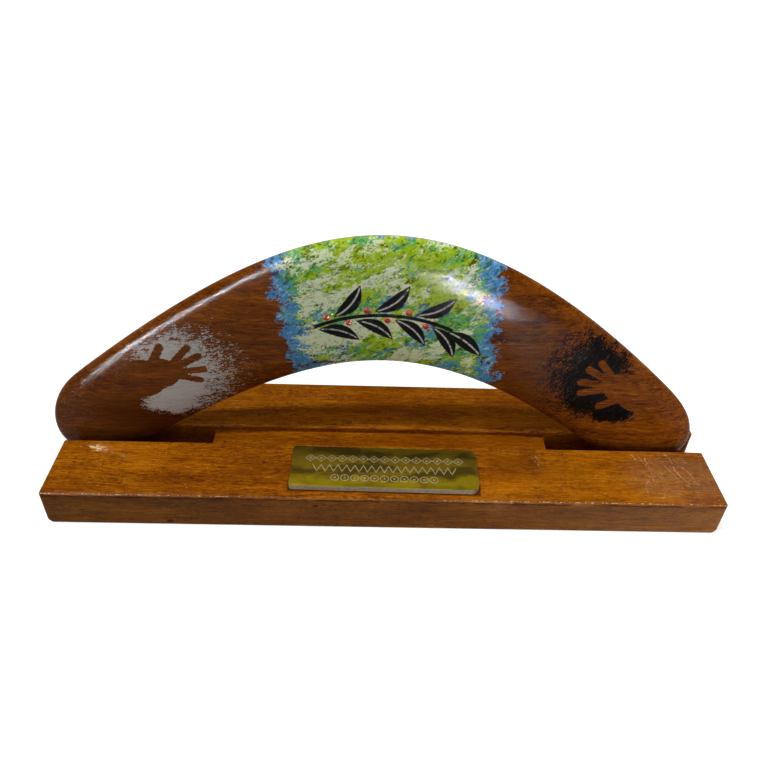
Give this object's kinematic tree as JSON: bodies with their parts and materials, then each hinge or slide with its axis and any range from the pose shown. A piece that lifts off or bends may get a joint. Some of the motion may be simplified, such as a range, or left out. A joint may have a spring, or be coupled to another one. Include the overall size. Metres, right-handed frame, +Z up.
{
  "type": "boomerang on display stand",
  "caption": "Painted wooden boomerang standing on edge in the slot of a flat wooden display base with a small plaque; it lifts out of the slot.",
  "frame": {"origin": "centre of the base's underside", "axes": "+X along the base to the right seen from the plaque side, -Y towards the plaque side, +Z up"},
  "size_m": [0.3073, 0.08, 0.1188],
  "materials": {
    "base_wood": "clear satin varnish over orange-brown timber",
    "tape": "thin double-sided foam tape",
    "plaque_white": "cut edge of a white laminate core",
    "plaque_gold": "mirror gold laminate face",
    "blade_wood": "gloss varnish over red-brown timber, dabbed and sprayed paint"
  },
  "bodies": {
    "stand": {"base": "base_wood", "plaque_tape": "tape", "plaque_core": "plaque_white", "plaque_face": "plaque_gold"},
    "boomerang": {"boomerang": "blade_wood"}
  },
  "joints": [
    {"name": "boomerang_lift", "type": "slide", "parent": "stand", "child": "boomerang", "axis": [0, 0.0872, 0.9962], "range_m": [0, 0.04]}
  ]
}
